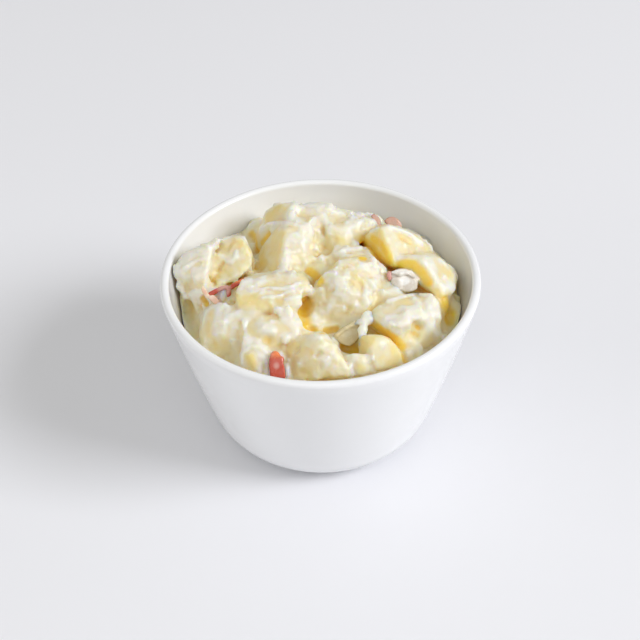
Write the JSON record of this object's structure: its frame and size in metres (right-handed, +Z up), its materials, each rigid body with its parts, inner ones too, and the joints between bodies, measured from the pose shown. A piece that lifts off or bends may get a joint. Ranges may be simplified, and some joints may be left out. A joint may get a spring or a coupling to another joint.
{
  "type": "potato salad in a bowl",
  "caption": "Creamy potato salad heaped in a round white bowl with straight tapered sides and a rounded lip.",
  "frame": {"origin": "middle of the bowl's foot, on the surface it stands on", "axes": "+Z up along the bowl's turning axis; -Y towards the side that the picture shows; +X to its right"},
  "size_m": [0.13, 0.13, 0.0913],
  "materials": {
    "bowl": "smooth white glaze, softly glossy",
    "potato_salad": "moist boiled potato under creamy dressing"
  },
  "bodies": {
    "root": {"bowl": "bowl", "potato_salad": "potato_salad"}
  },
  "joints": []
}
